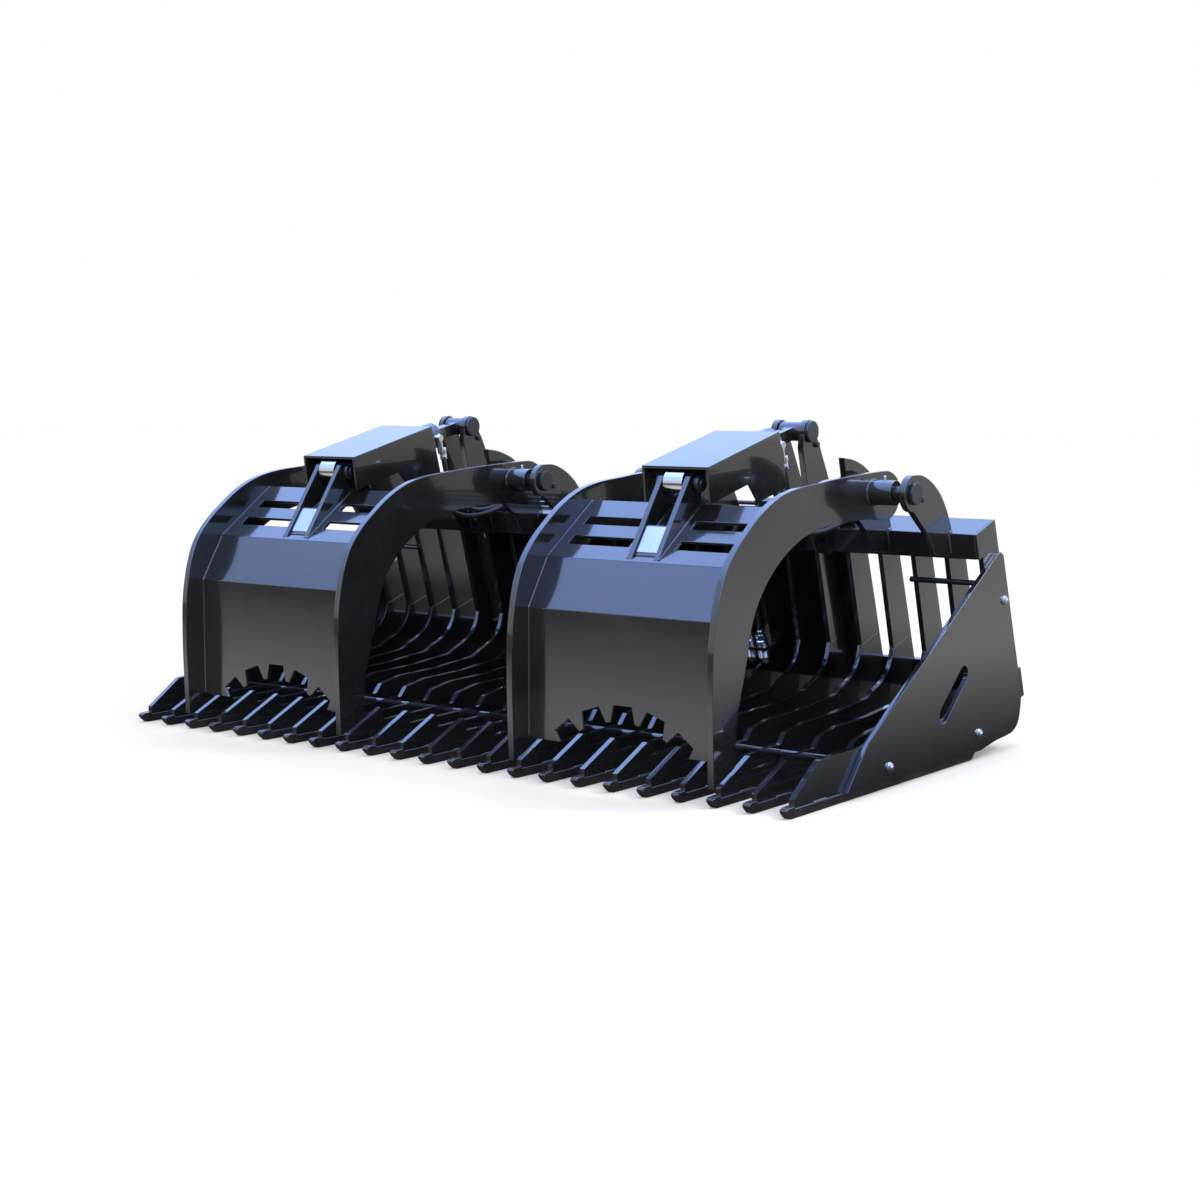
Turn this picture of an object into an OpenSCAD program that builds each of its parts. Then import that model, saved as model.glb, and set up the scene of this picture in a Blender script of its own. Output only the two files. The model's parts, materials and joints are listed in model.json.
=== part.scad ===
// Skeleton rock bucket with two independent hydraulic grapples for a skid-steer loader.
// Millimetres. X runs across the machine, Y from the tine tips to the loader, Z up.
// The origin is on the underside of the centre runner, on the ground.

/* [Tines] */
// Number of tines across the bucket
tine_count = 23; // [23]
// Distance from one tine to the next
tine_pitch = 88.9; // [74:0.1:107]
// Thickness of a tine plate
tine_t = 12.7; // [9.5:0.1:16]
// Width of the runner bar under each tine
runner_w = 19; // [15:0.1:26]
// Height of the runner bar
runner_h = 20; // [16:1:26]

/* [Frame] */
// Distance from the tine tips to the foot of the leaning back
floor_depth = 1036; // [960:1:1245]
// Height of the foot of the back above the ground
foot_h = 165; // [150:1:185]
// Forward lean of the back, in degrees
back_lean = 18; // [14:0.5:20]
// Length of the ribs, measured up the back to the top tube
back_len = 350; // [295:1:420]
// Depth of a rib where it meets the top tube
rib_top_d = 82; // [60:1:95]
// Depth of the top tube, front to back
tube_d = 101.6; // [98:0.1:122]
// Height of the top tube
tube_h = 63.5; // [53:0.1:76]
// Wall of the top tube
tube_wall = 6.4; // [4:0.1:9]
// Thickness of the side plates
side_t = 12.7; // [9.5:0.1:16]
// Diameter of the cross rods that tie the tines
rod_tie_d = 20; // [16:1:24]

/* [Grapples] */
// Thickness of a grapple arm
arm_t = 15.9; // [12.7:0.1:19]
// Diameter of the pivot pins
pivot_d = 32; // [26:0.1:39]
// Outer diameter of the bosses on the arms
boss_d = 58; // [50:1:66]
// Length of the boss on the outer side of an arm
boss_outer = 60; // [48:1:72]
// Length of the boss on the inner side of an arm
boss_inner = 38; // [31:1:46]
// Thickness of the front panel
panel_t = 8; // [6:0.5:10]
// Thickness of the cylinder lugs
lug_t = 12.7; // [10:0.1:15]
// Diameter of the lug pin
lug_pin_d = 25.4; // [21:0.1:30]

/* [Cylinders] */
// Outer diameter of the cylinder barrel
barrel_d = 70; // [66:1:71]
// Bore of the cylinder
bore_d = 57; // [50:0.5:60]
// Diameter of the piston rod
piston_rod_d = 31.75; // [26:0.05:38]
// Inner width of the cylinder cover
cover_w = 166; // [150:1:190]
// Wall of the cylinder cover
cover_t = 6.4; // [5:0.1:8]

/* [Coupler plate] */
// Width of the coupler plate
mount_w = 1143; // [1100:1:1200]
// Thickness of the coupler plate
mount_t = 9.5; // [8:0.1:12.7]
// Distance between the two lock pin slots
lock_spacing = 932; // [800:1:1000]
// Width of a lock pin slot
lock_w = 30; // [25:1:36]
// Length of a lock pin slot
lock_l = 64; // [52:1:76]

/* [Hidden] */
$fn = 48;
run_gap = 0.05;
weld_gap = 0.3;
origin_y = floor_depth / 2;
half_span = (tine_count - 1) / 2 * tine_pitch;
inner_x = half_span + tine_t / 2;
outer_x = inner_x + side_t;
grapple_x = 6 * tine_pitch;
arm_x = 3 * tine_pitch;

// Back frame: a point y behind the back plane and z up the back, in side view
function on_back(y, z) = [
    floor_depth + y * cos(back_lean) - z * sin(back_lean),
    foot_h + y * sin(back_lean) + z * cos(back_lean)];
tube_corner = on_back(-tube_d, back_len + tube_h);
heel_z = 100;
heel_d = 93;

// Grapple pivot, lug pin and tower pin in side view
pivot = tube_corner + [-172, 100];
lug_pin = [262, pivot[1] + 28];
tower_pin = pivot + [98, 134];
cyl_vec = tower_pin - lug_pin;
cyl_len = norm(cyl_vec);
cyl_angle = atan2(cyl_vec[1], cyl_vec[0]);
pivot_r = pivot_d / 2;
ear_t = 15.9;
outer_ear_x = arm_t / 2 + boss_outer + 29 + ear_t / 2;
inner_ear_x = arm_t / 2 + boss_inner + 2 + ear_t / 2;
lug_x = 36;
tower_x = 39;
tower_t = 15.9;
eye_w = 2 * (tower_x - tower_t / 2) - 4;
rod_eye_w = 2 * (lug_x - lug_t / 2) - 8;
rod_eye_slack = 7.5;
panel_half = arm_x - arm_t / 2;
rod_eye_r = 33;
eye_r = 23;
neck_h = 30;
barrel_start = 108;
bore_start = barrel_start + 8;
retract = 117;
piston_l = 36;
gland_l = 34;
rod_inner_end = bore_start + retract + 5;
barrel_end = rod_inner_end + piston_l + gland_l + 9;
heel_bar_t = 12.7;
heel_bar_h = 76;

// ---- placing ----

module placed() translate([0, -origin_y, 0]) children();

// Children drawn in side view (Y, Z) become a plate of thickness t centred on x
module plate_at(x, t) placed() translate([x - t / 2, 0, 0]) rotate([90, 0, 90]) linear_extrude(t) children();

module back_frame() placed() translate([0, floor_depth, foot_h]) rotate([back_lean, 0, 0]) children();

module bar_x(x0, x1, r) translate([x0, 0, 0]) rotate([0, 90, 0]) cylinder(h = x1 - x0, r = r);

module at_point(p) placed() translate([0, p[0], p[1]]) children();

// Frame of a cylinder: origin on the tower pin, -Y towards the lug pin
module cyl_frame(x) placed() translate([x, tower_pin[0], tower_pin[1]]) rotate([cyl_angle, 0, 0]) children();

module along(s0, s1, r) translate([0, -s0, 0]) rotate([90, 0, 0]) cylinder(h = s1 - s0, r = r);

// Points on a smooth curve through p, n to a span
function spline(p, n) = [for (i = [1:len(p) - 3], k = [0:n - 1]) let (t = k / n,
    a = p[i - 1], b = p[i], c = p[i + 1], d = p[i + 2])
    0.5 * (2 * b + (c - a) * t + (2 * a - 5 * b + 4 * c - d) * t * t + (3 * b - a - 3 * c + d) * t * t * t)];

// The same, starting and ending on the first and last point
function smooth(p, n) = concat(
    spline(concat([2 * p[0] - p[1]], p, [2 * p[len(p) - 1] - p[len(p) - 2]]), n), [p[len(p) - 1]]);

function tine_x(i) = i * tine_pitch - half_span;

// ---- bucket ----

knee_y = floor_depth - 202;
rod_front = [391, 48];
rod_rear = [floor_depth - 216, 62];
back_bolt = on_back(-29, 219);
floor_top = [[knee_y, foot_h - 22], [floor_depth - 226, foot_h - 31], [floor_depth - 246, foot_h - 42],
    [floor_depth - 340, foot_h - 50], [floor_depth - 396, foot_h - 56]];

module tie_holes() for (p = [rod_front, rod_rear]) translate(p) circle(d = rod_tie_d + 2 * run_gap);

module floor_outline(front) difference() {
    polygon(concat([[18, runner_h], [18, 38]], front, [for (i = [4:-1:0]) floor_top[i]],
        [[knee_y, runner_h]]));
    tie_holes();
}

module floor_tines() color("#15161a") for (i = [1:tine_count - 2]) plate_at(tine_x(i), tine_t)
    floor_outline([[130, 91], [139, 84], [141, 60], [397, 68], [418, 91], [445, 96], [490, 104]]);

module end_tines() color("#15161a") for (i = [0, tine_count - 1]) plate_at(tine_x(i), tine_t)
    floor_outline([[113, 102], [135, 105], [490, 107]]);

heel_curve = smooth([on_back(0, -38), [floor_depth + 8, foot_h - 68], [floor_depth - 3, foot_h - 103],
    [floor_depth - 27, foot_h - 121], [floor_depth - 60, foot_h - 128], [floor_depth - 125, foot_h - 133],
    [knee_y, runner_h]], 4);
knee_curve = smooth([[knee_y, foot_h - 22], [floor_depth - 174, foot_h - 10],
    [floor_depth - 148, foot_h + 9], [floor_depth - 130, foot_h + 33], on_back(-heel_d, heel_z)], 4);

module heel_knees() color("#15161a") for (i = [0:tine_count - 1]) plate_at(tine_x(i), tine_t)
    polygon(concat(knee_curve, [on_back(0, heel_z)], heel_curve));

module back_ribs() color("#15161a") difference() {
    for (i = [0:tine_count - 1]) plate_at(tine_x(i), tine_t) polygon([on_back(0, heel_z),
        on_back(0, back_len), on_back(-rib_top_d, back_len), on_back(-heel_d, heel_z)]);
    at_point(back_bolt) bar_x(-outer_x, -half_span + tine_pitch / 2, 8 + run_gap);
    at_point(back_bolt) bar_x(half_span - tine_pitch / 2, outer_x, 8 + run_gap);
}

module tine_runners() color("#1b1c20") for (i = [0:tine_count - 1]) plate_at(tine_x(i), runner_w)
    polygon([[4, 0], [-6, 7], [-14, 16], [-13, 21], [-6, 24], [18 - weld_gap, 25], [18 - weld_gap, runner_h],
        [knee_y - 6, runner_h], [knee_y - 30, 0]]);

module cross_rods() color("#1b1c20") for (p = [rod_front, rod_rear])
    at_point(p) bar_x(-outer_x, outer_x, rod_tie_d / 2);

module heel_bar() color("#1b1c20") back_frame() translate([-outer_x, 0, 28 - heel_bar_h])
    cube([2 * outer_x, heel_bar_t, heel_bar_h]);

slot_at = [floor_depth - 346, 170];
slot_tilt = 40;
slot_l = 165;
slot_w = 40;

module side_outline() difference() {
    polygon(concat([[210, runner_h], [294, 112], on_back(-33, back_len - 12), on_back(-12, back_len - 14),
        on_back(-3, back_len - 26)], heel_curve));
    translate(slot_at) rotate(slot_tilt) {
        square([slot_l - slot_w, slot_w], center = true);
        for (s = [-1, 1]) translate([s * (slot_l - slot_w) / 2, 0]) circle(d = slot_w);
    }
    tie_holes();
    translate(back_bolt) circle(r = 8 + run_gap);
}

module side_plate(side) color("#15161a") plate_at(side * (inner_x + side_t / 2), side_t) side_outline();
module side_plate_left() side_plate(-1);
module side_plate_right() side_plate(1);

// Caps over the tie rod ends, and a bolt with its nut at the top of each side plate
module side_plate_bolts() color("#b9bcc0") for (side = [-1, 1]) placed() mirror([side < 0 ? 1 : 0, 0, 0]) {
    for (p = [rod_front, rod_rear, back_bolt]) translate([0, p[0], p[1]]) difference() {
        bar_x(outer_x, outer_x + 7, 12);
        bar_x(outer_x + 4, outer_x + 8, 4);
    }
    translate([0, back_bolt[0], back_bolt[1]]) bar_x(inner_x - tine_t - 12, outer_x, 8);
    translate([0, back_bolt[0], back_bolt[1]]) difference() {
        bar_x(inner_x - tine_t - 9, inner_x - tine_t, 13, $fn = 6);
        bar_x(inner_x - tine_t - 10, inner_x, 8 + run_gap);
    }
}

cap_t = 5;
module tube_box(x, grow) back_frame() translate([-x, -tube_d - grow, back_len - grow])
    cube([2 * x, tube_d + 2 * grow, tube_h + 2 * grow]);

module top_tube() color("#15161a") difference() {
    tube_box(inner_x - cap_t, 0);
    tube_box(inner_x, -tube_wall);
}

module top_tube_caps() color("#15161a") for (s = [-1, 1]) back_frame()
    translate([s * (inner_x - cap_t / 2) - cap_t / 2, -tube_d, back_len]) cube([cap_t, tube_d, tube_h]);

// Short round bars across the two end ribs, under the ends of the top tube
module stub_braces() color("#15161a") for (s = [-1, 1]) back_frame()
    translate([0, -rib_top_d - 11, back_len - 62]) mirror([s < 0 ? 1 : 0, 0, 0])
    bar_x(half_span - 2.1 * tine_pitch, inner_x, 7);

// ---- coupler plate ----
// The lips and side bars stand around the plate's edges and leave its rear face clear

mount_top = back_len + 50;
lip_root = 14;
module mount_plate() color("#15161a") back_frame() translate([-mount_w / 2, run_gap, 28])
    cube([mount_w, mount_t - run_gap, mount_top - lip_root - 28]);

module back_bar(x0, x1) back_frame() translate([x0, 0, 0]) rotate([90, 0, 90]) linear_extrude(x1 - x0) children();

module mount_upper_lip() color("#15161a") back_bar(-mount_w / 2, mount_w / 2)
    polygon([[run_gap, mount_top], [mount_t + 30, mount_top], [mount_t + 64, mount_top - 34],
        [mount_t + 55, mount_top - 43], [mount_t + 26, mount_top - lip_root], [run_gap, mount_top - lip_root]]);

lip_z = foot_h + 1;
lip_t = 12.7;
lip_d = 88;
lip_y = floor_depth + heel_bar_t * cos(back_lean) + 4;
module mount_lower_lip() color("#15161a") difference() {
    placed() translate([-mount_w / 2, lip_y - 12, lip_z - lip_t]) cube([mount_w, lip_d + 12, lip_t]);
    back_frame() translate([-outer_x, -60, -heel_bar_h]) cube([2 * outer_x, 60 + heel_bar_t, 2 * heel_bar_h]);
    for (s = [-1, 1]) placed() translate([s * lock_spacing / 2, lip_y + lip_d / 2 + 6, 0]) {
        translate([-(lock_l - lock_w) / 2, -lock_w / 2, 0]) cube([lock_l - lock_w, lock_w, 2 * lip_z]);
        for (e = [-1, 1]) translate([e * (lock_l - lock_w) / 2, 0, 0]) cylinder(d = lock_w, h = 2 * lip_z);
    }
}

module mount_side_bars() color("#15161a") for (s = [-1, 1])
    back_bar(s * (mount_w / 2 + 6) - 6, s * (mount_w / 2 + 6) + 6)
    polygon([[run_gap, 34], [run_gap, mount_top - 20], [mount_t, mount_top - 20], [mount_t + 26, mount_top - 70],
        [mount_t + 40, 34]]);

// ---- pivot ears and towers on the top tube ----

function rel(p, list) = [for (q = list) p + q];

module ear(x, back_line, front_line) color("#15161a") difference() {
    plate_at(x, ear_t) difference() {
        union() {
            polygon(concat(rel(pivot, smooth(back_line, 5)), [on_back(-tube_d + 4, back_len + 8)],
                rel(pivot, front_line)));
            translate(pivot) circle(r = 42);
        }
        translate(pivot) circle(r = pivot_r + run_gap);
    }
    tube_box(inner_x, 0);
}

ear_foot = [[168, -152], [108, -146], [71, -95], [0, -42]];
outer_back = [[0, 42], [40, 40], [85, 24], [130, -6], [164, -46], [186, -84], [196, -106]];
inner_back = [[-36, 79], [12, 72], [64, 54], [110, 24], [150, -14], [180, -62], [197, -104]];

module pivot_ears(side) for (k = [-1, 1]) {
    ear(side * grapple_x + k * (arm_x + outer_ear_x), outer_back, concat(ear_foot, [[-34, -24]]));
    ear(side * grapple_x + k * (arm_x - inner_ear_x), inner_back, concat(ear_foot, [[-40, -12], [-24, 30]]));
}
module left_pivot_ears() pivot_ears(-1);
module right_pivot_ears() pivot_ears(1);

tower_outline = [[-27, -6], [-32, -37], [-6, -140], [24, -258], [62, -296], [110, -300], [148, -226],
    [102, -135], [43, -28], [27, -4]];
module cylinder_tower(side) color("#15161a") difference() {
    for (k = [-1, 1]) plate_at(side * grapple_x + k * tower_x, tower_t) difference() {
        union() {
            polygon(rel(tower_pin, tower_outline));
            translate(tower_pin) circle(r = 28);
        }
        translate(tower_pin) circle(r = pivot_r + run_gap);
    }
    tube_box(inner_x, 0);
}
module left_cylinder_tower() cylinder_tower(-1);
module right_cylinder_tower() cylinder_tower(1);

// A pin along X with a round head on its outer end
head_l = 9;
head_rim = 10;
module headed_pin(x0, x1, r, out) {
    bar_x(x0, x1, r);
    if (out > 0) bar_x(x1, x1 + head_l, r + head_rim); else bar_x(x0 - head_l, x0, r + head_rim);
}

pin_in = arm_x - inner_ear_x - ear_t / 2 - 6;
pin_out = arm_x + outer_ear_x + ear_t / 2 + weld_gap;
module pivot_pins() color("#7d8084") for (side = [-1, 1], k = [-1, 1]) at_point(pivot)
    translate([side * grapple_x, 0, 0]) mirror([k < 0 ? 1 : 0, 0, 0]) headed_pin(pin_in, pin_out, pivot_r, 1);

tower_out = tower_x + tower_t / 2 + weld_gap;
module tower_pins() color("#7d8084") for (side = [-1, 1]) at_point(tower_pin)
    translate([side * grapple_x, 0, 0]) headed_pin(-tower_out - 5, tower_out, pivot_r, 1);

// Retaining bolts beside the pin heads
module pin_keeper_bolts() color("#b9bcc0") for (side = [-1, 1]) placed() translate([side * grapple_x, 0, 0]) {
    for (k = [-1, 1]) translate([0, pivot[0] + 36, pivot[1] - 14]) mirror([k < 0 ? 1 : 0, 0, 0])
        bar_x(pin_out - weld_gap, pin_out + 7, 7.5, $fn = 6);
    translate([0, tower_pin[0] + 29, tower_pin[1] - 31]) bar_x(tower_out - weld_gap, tower_out + 7, 7.5, $fn = 6);
}

// ---- hydraulic supply on the top tube ----

block_x = 92;
block_w = 46;
block_h = 40;
block_front = -tube_d + 30;
block_back = -5;
tube_top = back_len + tube_h;
module hose_blocks() color("#2a2b30") for (side = [-1, 1]) back_frame()
    translate([side * grapple_x + block_x - block_w / 2, block_front, tube_top]) difference() {
        cube([block_w, block_back - block_front, block_h]);
        for (x = [12, 34]) translate([x, -1, block_h / 2]) rotate([-90, 0, 0]) cylinder(d = 12, h = 14);
    }

// Two steel lines run behind the towers, one above the other, to a tee block
line_r = 5.5;
line_y = -12;
line_z = [tube_top + 7, tube_top + 21];
holster_x = tine_x((tine_count - 1) / 2 + 4);
tee = [[holster_x - 20, -24, tube_top], [62, 24, 32]];
module steel_lines() color("#8d9095") back_frame() {
    for (z = line_z) translate([0, line_y, z]) {
        bar_x(-grapple_x + block_x + block_w / 2, tee[0][0], line_r);
        bar_x(tee[0][0] + tee[1][0], grapple_x + block_x - block_w / 2, line_r);
    }
    translate(tee[0]) cube(tee[1]);
}

// Supply hoses leave the tee, pass over the tube and hang down to the couplers
hose_r = 6.5;
hose_bend = 52;
hose_z = tube_top + 17;
hose_y = -tube_d - 64;
hose_x = [holster_x - 7, holster_x + 29];
coupler_z = [back_len - 284, back_len - 204];
module supply_hoses() color("#101114") for (x = hose_x) back_frame() translate([x, 0, 0]) {
    translate([0, tee[0][1], hose_z]) rotate([90, 0, 0]) cylinder(r = hose_r, h = tee[0][1] - hose_y - hose_bend);
    translate([0, hose_y + hose_bend, hose_z - hose_bend]) rotate([90, 0, 90]) rotate(90)
        rotate_extrude(angle = 90) translate([hose_bend, 0]) circle(r = hose_r);
    translate([0, hose_y, coupler_z[1]]) cylinder(r = hose_r, h = hose_z - hose_bend - coupler_z[1]);
}

coupler_r = 15;
module quick_couplers() color("#c3c6ca") for (x = hose_x) back_frame() translate([x, hose_y, coupler_z[0]]) {
    cylinder(r = coupler_r - 4, h = 12);
    translate([0, 0, 12]) cylinder(r = coupler_r, h = coupler_z[1] - coupler_z[0] - 24);
    translate([0, 0, coupler_z[1] - coupler_z[0] - 12]) cylinder(r = coupler_r - 2, h = 12, $fn = 6);
}

holster_z = coupler_z[0] + 42;
holster_t = 8;
rib_d_here = rib_top_d + (heel_d - rib_top_d) * (back_len - holster_z) / (back_len - heel_z);
module coupler_holster() color("#1b1c20") back_frame() difference() {
    translate([hose_x[0] - 24, hose_y - 24, holster_z])
        cube([hose_x[1] - hose_x[0] + 48, -rib_d_here - weld_gap - hose_y + 24, holster_t]);
    for (x = hose_x) translate([x, hose_y, 0]) cylinder(r = coupler_r + 0.4, h = 2 * back_len);
}

// ---- grapples ----

pz = pivot[1];
py = pivot[0];
arm_outer = smooth([[-9, 40], [-12, 110], [-15, 215], [-13, pz - 307], [-3, pz - 236], [14, pz - 176],
    [38, pz - 132], [75, pz - 92], [120, pz - 57], [172, pz - 22], [0.367 * py, pz + 6],
    [0.484 * py, pz + 22], [0.625 * py, pz + 30], [0.75 * py, pz + 37], [py + 40, pz + 47],
    [py + 88, pz + 43], [py + 116, pz + 28]], 3);
arm_inner = smooth([[py + 127, pz + 10], [py + 128, pz - 20], [py + 108, pz - 52], [py + 66, pz - 67],
    [py - 30, pz - 61], [0.766 * py, pz - 63], [0.641 * py, pz - 71], [0.524 * py, pz - 87],
    [0.41 * py, pz - 120], [201, pz - 164], [155, pz - 216], [130, pz - 266], [117, pz - 319],
    [100, 252], [86, 208], [76, 165], [70, 74]], 3);

module arm(side, k) color("#15161a") plate_at(side * grapple_x + k * arm_x, arm_t) difference() {
    polygon(concat(arm_outer, arm_inner));
    translate(pivot) circle(r = pivot_r + run_gap);
}
module left_outer_arm() arm(-1, -1);
module left_inner_arm() arm(-1, 1);
module right_inner_arm() arm(1, -1);
module right_outer_arm() arm(1, 1);

module pivot_bosses(side) color("#15161a") for (k = [-1, 1]) at_point(pivot)
    translate([side * grapple_x, 0, 0]) mirror([k < 0 ? 1 : 0, 0, 0])
    for (x = [[arm_x + arm_t / 2, boss_outer], [arm_x - arm_t / 2 - boss_inner, boss_inner]]) difference() {
        bar_x(x[0], x[0] + x[1], boss_d / 2);
        bar_x(x[0] - 1, x[0] + x[1] + 1, pivot_r + run_gap);
    }
module left_pivot_bosses() pivot_bosses(-1);
module right_pivot_bosses() pivot_bosses(1);

// Front panel: upright sheet, then a fold back to the slat panel
fold_1 = [45, pz - 247];
fold_2 = [112, pz - 138];
slat_rise = 35;
slat_l = 208;
panel_foot = 85;
burst_r = 270;
burst_inner = 234;
burst_step = 19;

// Point at distance d behind the panel face at a fold between directions a and b
function fold_back(p, a, b, d) = p + d / cos((a - b) / 2) * [sin((a + b) / 2), -cos((a + b) / 2)];
slant = atan2(fold_2[1] - fold_1[1], fold_2[0] - fold_1[0]);
slat_dir = [cos(slat_rise), sin(slat_rise)];
slat_in = [sin(slat_rise), -cos(slat_rise)];

// Arched foot with five radiating notches
module burst() translate([0, panel_foot + 96 - burst_r]) {
    circle(r = burst_inner, $fn = 96);
    for (i = [-2:2]) rotate(i * burst_step)
        polygon([[-34, burst_inner - 12], [34, burst_inner - 12], [24.5, burst_r], [-24.5, burst_r]]);
}

module front_panel(side) color("#15161a") difference() {
    plate_at(side * grapple_x, 2 * panel_half) polygon([[fold_1[0], panel_foot], fold_1, fold_2,
        fold_back(fold_2, slant, slat_rise, panel_t), fold_back(fold_1, 90, slant, panel_t),
        [fold_1[0] + panel_t, panel_foot]]);
    placed() translate([side * grapple_x, fold_1[0] + 2 * panel_t, 0]) rotate([90, 0, 0])
        linear_extrude(3 * panel_t) burst();
}
module left_front_panel() front_panel(-1);
module right_front_panel() front_panel(1);

slot_rows = [[48, 78], [120, 148]];
slot_span = [62, panel_half - 28];
module slat_panel(side) color("#15161a") difference() {
    plate_at(side * grapple_x, 2 * panel_half) polygon([fold_2, fold_2 + slat_l * slat_dir,
        fold_2 + slat_l * slat_dir + panel_t * slat_in, fold_back(fold_2, slant, slat_rise, panel_t)]);
    placed() translate([side * grapple_x, fold_2[0], fold_2[1]]) rotate([slat_rise, 0, 0])
        for (row = slot_rows, k = [-1, 1]) translate([(slot_span[0] + slot_span[1]) / 2 * k,
            (row[0] + row[1]) / 2, 0]) cube([slot_span[1] - slot_span[0], row[1] - row[0], 3 * panel_t], center = true);
}
module left_slat_panel() slat_panel(-1);
module right_slat_panel() slat_panel(1);

// Lugs stand on the slat panel and carry the lug pin
lug_foot = [for (s = [6, 204]) fold_2 + s * slat_dir];
module cylinder_lugs(side) color("#15161a") {
    for (k = [-1, 1]) plate_at(side * grapple_x + k * lug_x, lug_t) difference() {
        union() {
            polygon([lug_foot[0], lug_foot[1], lug_pin + [22, -12], lug_pin + [-4, 24], lug_pin + [-23, 16]]);
            translate(lug_pin) circle(r = 25);
        }
        translate(lug_pin) circle(r = lug_pin_d / 2 + run_gap);
    }
    plate_at(side * grapple_x, 2 * lug_x - lug_t) polygon([web_foot, web_foot + [6.4, 4.48], web_top + [6.4, 0],
        web_top]);
}
web_foot = fold_2 + 22 * slat_dir;
web_top = web_foot + 78 * [cos(55), sin(55)];
module left_cylinder_lugs() cylinder_lugs(-1);
module right_cylinder_lugs() cylinder_lugs(1);

module data_plate(side) color("#c9ccd0") plate_at(side * grapple_x, 2 * lug_x - lug_t - 6)
    polygon([for (q = [[8, 0.1], [74, 0.1], [74, 1.6], [8, 1.6]])
        web_foot + q[0] * [cos(55), sin(55)] + q[1] * [-sin(55), cos(55)]]);
module left_data_plate() data_plate(-1);
module right_data_plate() data_plate(1);

module lug_pin_node(side) color("#7d8084") at_point(lug_pin) translate([side * grapple_x, 0, 0]) {
    headed_pin(-lug_x - lug_t / 2 - weld_gap, lug_x + lug_t / 2 + 22, lug_pin_d / 2, -1);
    difference() {
        bar_x(lug_x + lug_t / 2 + 4, lug_x + lug_t / 2 + 16, 19);
        bar_x(0, 2 * lug_x + lug_t, lug_pin_d / 2 + run_gap);
    }
}
module left_lug_pin() lug_pin_node(-1);
module right_lug_pin() lug_pin_node(1);

// ---- cylinders ----

module barrel(side) color("#1b1c20") cyl_frame(side * grapple_x) {
    difference() {
        union() {
            along(barrel_start, barrel_end, barrel_d / 2);
            bar_x(-eye_w / 2, eye_w / 2, eye_r);
            translate([-eye_w / 4, -barrel_start - 2, -neck_h / 2]) cube([eye_w / 2, barrel_start, neck_h]);
        }
        along(bore_start, barrel_end + 1, bore_d / 2);
        bar_x(-eye_w, eye_w, pivot_r + run_gap);
    }
}
module left_barrel() barrel(-1);
module right_barrel() barrel(1);

module gland(side) color("#2a2b30") cyl_frame(side * grapple_x) difference() {
    union() {
        along(barrel_end - gland_l, barrel_end, bore_d / 2 - run_gap);
        along(barrel_end, barrel_end + 10, barrel_d / 2 - 2);
    }
    along(barrel_end - gland_l - 1, barrel_end + 11, piston_rod_d / 2 + run_gap);
}
module left_gland() gland(-1);
module right_gland() gland(1);

module rod(side) color("#d5d8dc") cyl_frame(side * grapple_x) difference() {
    union() {
        along(rod_inner_end, cyl_len - rod_eye_r + 6, piston_rod_d / 2);
        translate([0, -cyl_len, 0]) bar_x(-rod_eye_w / 2, rod_eye_w / 2, rod_eye_r);
    }
    translate([0, -cyl_len, 0]) bar_x(-rod_eye_w, rod_eye_w, lug_pin_d / 2 + rod_eye_slack);
}
module left_rod() rod(-1);
module right_rod() rod(1);

module piston(side) color("#8d9095") cyl_frame(side * grapple_x) difference() {
    along(rod_inner_end, rod_inner_end + piston_l, bore_d / 2 - run_gap);
    along(rod_inner_end - 1, rod_inner_end + piston_l + 1, piston_rod_d / 2 + run_gap);
}
module left_piston() piston(-1);
module right_piston() piston(1);

// Folded channel over the rod, open below and at both ends
cover_top = barrel_d / 2 + 1 + cover_t;
cover_front = cyl_len + 14;
cover_rear = 200;
cover_side = [[-cover_front, cover_top], [-cover_front - 10, -40], [-350, -40], [-322, -92], [4 - cover_rear, -92],
    [-cover_rear, cover_top]];
cover_tilt = 1.4;
function cover_lift(s) = (cyl_len - s) * tan(cover_tilt);
module cover(side) color("#15161a") cyl_frame(side * grapple_x) translate([0, -cyl_len, 0])
    rotate([cover_tilt, 0, 0]) translate([0, cyl_len, 0]) rotate([90, 0, 90]) difference() {
    translate([0, 0, -cover_w / 2 - cover_t]) linear_extrude(cover_w + 2 * cover_t) polygon(cover_side);
    translate([-2 * cyl_len, -200, -cover_w / 2]) cube([3 * cyl_len, 200 + cover_top - cover_t, cover_w]);
}
module left_cover() cover(-1);
module right_cover() cover(1);

module cover_brackets(side) color("#15161a") cyl_frame(side * grapple_x) for (s = [216, 268]) difference() {
    translate([-cover_w / 2, -s - 8, -38]) cube([cover_w, 8, 38 + cover_top - cover_t + cover_lift(s + 8)]);
    along(s - 1, s + 9, barrel_d / 2 + run_gap);
}
module left_cover_brackets() cover_brackets(-1);
module right_cover_brackets() cover_brackets(1);

// Elbow fittings on the barrel's side: base port and rod port
port_s = [barrel_start + 26, barrel_start + 82];
port_drop = 42;
port_r = 9;
module port_fittings(side) color("#b9bcc0") cyl_frame(side * grapple_x) for (s = port_s)
    translate([barrel_d / 2 - 0.5, -s, 0]) {
        bar_x(0.6, 20, port_r);
        translate([11, 0, -port_drop]) cylinder(r = port_r - 1, h = port_drop);
    }
module left_port_fittings() port_fittings(-1);
module right_port_fittings() port_fittings(1);

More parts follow.
